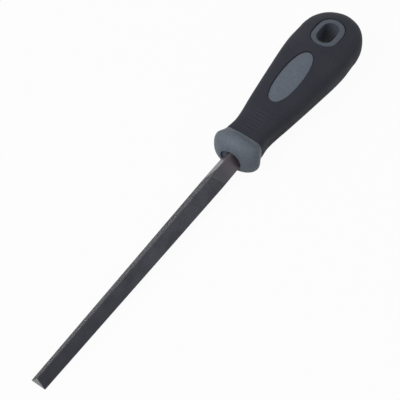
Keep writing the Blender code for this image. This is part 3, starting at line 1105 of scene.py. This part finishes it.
def file_steel():
    """Dark hardened steel: crests rubbed bright, painted shade in the groove feet, darker towards the tip,
    the heel browned and drawn and lightened at the mouth as painted light, the tip ground.
    """
    made = bpy.data.materials.get("hardened_file_steel")
    if made:
        return made
    look = FILE_STEEL
    tones = bpy.context.scene.file_finishes
    sizes = bpy.context.scene.blade_sizes
    made, nodes, shader = start_material("hardened_file_steel")
    place = nodes.place()
    marks = nodes.group(handling_marks(), Vector=place, Size=look.marks)
    groove = nodes.attribute("groove")
    heel = nodes.attribute("heel")
    along = nodes.add("ShaderNodeSeparateXYZ", {0: place}).outputs[0]
    tip = MOUTH.x - sizes.length
    cut = nodes.mix(marks["Smudge"], shaded(tones.steel, look.dark), shaded(tones.steel, look.light))
    towards_heel = nodes.span(along, tip, MOUTH.x, look.crest_at_tip, 1.0)
    rubbed = nodes.math("MULTIPLY", nodes.span(groove, look.crest, 0.0), towards_heel)
    crest = nodes.math("MULTIPLY", rubbed, nodes.span(marks["Smudge"], 0.0, 1.0, *look.crest_shares))
    toothed = nodes.mix(crest, cut, shaded(tones.bare_steel, 1.0))
    # Painted shade: the feet of the grooves are darkened.
    foot = nodes.span(groove, look.foot, 1.0, 0.0, look.foot_share)
    groove_shaded = nodes.mix(foot, toothed, shaded(tones.steel, look.foot_shade))
    # The steel is made darker towards the tip.
    towards_tip = nodes.span(along, tip, tip + look.tip_fade, look.tip_share, 0.0)
    darker_to_tip = nodes.mix(towards_tip, groove_shaded, shaded(tones.steel, look.tip_shade))
    # Painted light: towards the mouth the heel is made browner and lighter, standing in for light in the
    # shade of the collar's lip.
    warm = nodes.span(along, MOUTH.x - sizes.uncut_heel * look.warm, MOUTH.x)
    tempered = nodes.mix(warm, shaded(tones.heel_steel, look.heel_shade), shaded(tones.lit_mouth_steel, 1.0))
    scuffs = nodes.math("MULTIPLY", marks["Scuff"], look.scuffs)
    drawn = nodes.mix(scuffs, tempered, shaded(tones.heel_steel, look.scuff))
    body = nodes.mix(heel, darker_to_tip, drawn)
    ground = nodes.math("LESS_THAN", along, tip + look.grind)
    nodes.feed(shader, "Base Color", nodes.mix(ground, body, shaded(tones.bare_steel, look.grind_shade)))
    rough = nodes.span(marks["Smudge"], 0.0, 1.0, *look.roughness)
    heel_rough = nodes.math("MULTIPLY", heel, look.heel_roughness)
    nodes.feed(shader, "Roughness", nodes.math("ADD", rough, heel_rough))
    nodes.feed(shader, "Metallic", nodes.span(heel, 0.0, 1.0, 1.0, look.heel_metal))
    nodes.feed(shader, "Normal", nodes.bump(look.bump, look.bump_depth, nodes.noise(place, look.grain)))
    return made


def pale_floor():
    """White paper floor: the camera sees it near white, with the object's shadow kept."""
    tone = bpy.context.scene.file_finishes.floor
    made, nodes, shader = start_material("pale_floor")
    shader.inputs["Base Color"].default_value = shaded(tone, 1.0)
    shader.inputs["Roughness"].default_value = FLOOR_ROUGHNESS
    shader.inputs["Specular IOR Level"].default_value = 0.0
    glow = nodes.add("ShaderNodeEmission", {"Color": (1, 1, 1, 1), "Strength": 1.0})
    share = nodes.math("MULTIPLY", nodes.seen(), FLOOR_GLOW)
    both_ways = nodes.add("ShaderNodeMixShader", {0: share, 1: shader.outputs[0], 2: glow.outputs[0]})
    out = made.node_tree.nodes["Material Output"]
    nodes.feed(out, "Surface", both_ways.outputs[0])
    return made


# Operators


class FILE_OT_blade(bpy.types.Operator):
    """Model the toothed blade, its bare heel and its tang"""

    bl_idname = "hand_file.blade"
    bl_label = "Toothed blade"

    def execute(self, context):
        piece = model_blade(context.scene.blade_sizes)
        finish_piece(piece, file_steel(), ["file_blade"], TOOTH_ANGLE)
        return {"FINISHED"}


class FILE_OT_collar(bpy.types.Operator):
    """Model the rounded grey collar"""

    bl_idname = "hand_file.collar"
    bl_label = "Collar"

    def execute(self, context):
        finish_piece(model_collar(context.scene.handle_sizes), grey_plastic(), ["collar"])
        return {"FINISHED"}


class FILE_OT_grip(bpy.types.Operator):
    """Model the ribbed black sleeve with its windows"""

    bl_idname = "hand_file.grip"
    bl_label = "Black sleeve"

    def execute(self, context):
        finish_piece(model_grip(context.scene.handle_sizes), soft_black(), ["soft_grip"])
        return {"FINISHED"}


class FILE_OT_inlays(bpy.types.Operator):
    """Model the upper oval, and copy it to the lower side"""

    bl_idname = "hand_file.inlays"
    bl_label = "Oval inlays"

    def execute(self, context):
        upper = model_inlay(context.scene.handle_sizes)
        bpy.ops.object.mode_set(mode="OBJECT")
        bpy.ops.object.duplicate()
        lower = context.object
        lower.name = "lower_oval"
        lower.rotation_euler = (math.pi, 0, 0)
        bpy.ops.object.transform_apply(location=True, rotation=True, scale=True)
        finish_piece(lower, grey_plastic(), ["lower_inlay"])
        bpy.ops.object.select_all(action="DESELECT")
        context.view_layer.objects.active = upper
        upper.select_set(True)
        finish_piece(upper, grey_plastic(), ["upper_inlay"])
        return {"FINISHED"}


class FILE_OT_eyelet(bpy.types.Operator):
    """Model the dished bush in the hanging hole"""

    bl_idname = "hand_file.eyelet"
    bl_label = "Hanging eyelet"

    def execute(self, context):
        piece = model_eyelet(context.scene.handle_sizes)
        # The eyelet gets the darker grey, painted shade for its recess.
        finish_piece(piece, grey_plastic("dull_grey"), ["hanging_eyelet"])
        return {"FINISHED"}


class FILE_OT_core(bpy.types.Operator):
    """Give the hidden core its moulded finish"""

    bl_idname = "hand_file.core"
    bl_label = "Core"

    def execute(self, context):
        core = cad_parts["handle_core"]
        core.data.materials.clear()
        core.data.materials.append(grey_plastic())
        return {"FINISHED"}


class FILE_OT_stage(bpy.types.Operator):
    """Set up the floor, the light and the camera"""

    bl_idname = "hand_file.stage"
    bl_label = "Stage"

    def execute(self, context):
        set_floor()
        set_light()
        set_camera()
        return {"FINISHED"}


def set_floor():
    """A wide pale floor that the tip and the belly of the handle rest on."""
    bpy.ops.object.select_all(action="DESELECT")
    bpy.ops.mesh.primitive_plane_add(size=FLOOR_SIZE)
    floor = bpy.context.object
    floor.name = "pale_floor"
    belly_x = MOUTH.x + bpy.context.scene.handle_sizes.belly[0]
    tip_z = MOUTH.z - bpy.context.scene.blade_sizes.tip_side / (2 * math.sqrt(3))
    fall = math.atan2(tip_z, belly_x - BLADE_LOW.x)
    rest = Matrix.Translation((belly_x, 0, GRIP_LOW.z - FLOOR_GAP))
    floor.data.transform(rest @ Matrix.Rotation(fall, 4, "Y"))
    floor.data.materials.append(pale_floor())


def area_light(name, place, target, size, power):
    lamp = bpy.data.lights.new(name, "AREA")
    lamp.shape = "DISK"
    lamp.size = size
    lamp.energy = power
    obj = bpy.data.objects.new(name, lamp)
    bpy.context.scene.collection.objects.link(obj)
    obj.location = place
    obj.rotation_euler = (Vector(target) - Vector(place)).to_track_quat("-Z", "Y").to_euler()


def set_light():
    """Soft even light from all round, a large lamp over the tip's side and a weak one across from it."""
    world = bpy.data.worlds.new("studio")
    bpy.context.scene.world = world
    world.use_nodes = True
    nodes = Nodes(world.node_tree)
    soft = world.node_tree.nodes["Background"]
    soft.inputs["Color"].default_value = (1.0, 1.0, 1.0, 1.0)
    soft.inputs["Strength"].default_value = WORLD_LIGHT
    white = nodes.add("ShaderNodeBackground", {"Color": (1, 1, 1, 1), "Strength": 1.0})
    either = nodes.add("ShaderNodeMixShader", {0: nodes.seen(), 1: soft.outputs[0], 2: white.outputs[0]})
    nodes.feed(world.node_tree.nodes["World Output"], "Surface", either.outputs[0])
    for name, place, size, power in LAMPS:
        area_light(name, place, LAMP_TARGET, size, power)


def set_camera():
    """The photograph's view: from above the tip's side, with a long lens."""
    camera = bpy.data.cameras.new("photo_view")
    camera.lens = CAMERA_LENS
    camera.sensor_width = 36.0
    obj = bpy.data.objects.new("photo_view", camera)
    bpy.context.scene.collection.objects.link(obj)
    turn = Matrix(CAMERA_AXES).transposed().to_4x4()
    obj.matrix_world = Matrix.Translation(CAMERA_PLACE) @ turn
    bpy.context.scene.camera = obj


class FILE_PT_panel(bpy.types.Panel):
    """Steps and sizes of the file"""

    bl_idname = "FILE_PT_panel"
    bl_label = "Three-square file"
    bl_space_type = "VIEW_3D"
    bl_region_type = "UI"
    bl_category = "Hand file"

    def draw(self, context):
        for step in STEPS:
            self.layout.operator(step.bl_idname)
        for group in (context.scene.blade_sizes, context.scene.handle_sizes, context.scene.file_finishes):
            box = self.layout.box()
            for name in group.bl_rna.properties.keys():
                if name not in ("rna_type", "name"):
                    box.prop(group, name)


STEPS = (
    FILE_OT_blade,
    FILE_OT_core,
    FILE_OT_collar,
    FILE_OT_grip,
    FILE_OT_inlays,
    FILE_OT_eyelet,
    FILE_OT_stage,
)
CLASSES = (BladeSizes, HandleSizes, FileFinishes, *STEPS, FILE_PT_panel)


def register():
    for cls in CLASSES:
        bpy.utils.register_class(cls)
    bpy.types.Scene.blade_sizes = PointerProperty(type=BladeSizes)
    bpy.types.Scene.handle_sizes = PointerProperty(type=HandleSizes)
    bpy.types.Scene.file_finishes = PointerProperty(type=FileFinishes)


def unregister():
    for name in ("blade_sizes", "handle_sizes", "file_finishes"):
        delattr(bpy.types.Scene, name)
    for cls in reversed(CLASSES):
        bpy.utils.unregister_class(cls)


def main():
    register()
    bpy.ops.hand_file.blade()
    bpy.ops.hand_file.core()
    bpy.ops.hand_file.collar()
    bpy.ops.hand_file.grip()
    bpy.ops.hand_file.inlays()
    bpy.ops.hand_file.eyelet()
    bpy.ops.hand_file.stage()
    bpy.context.scene.view_settings.view_transform = "Standard"


if __name__ == "__main__":
    main()
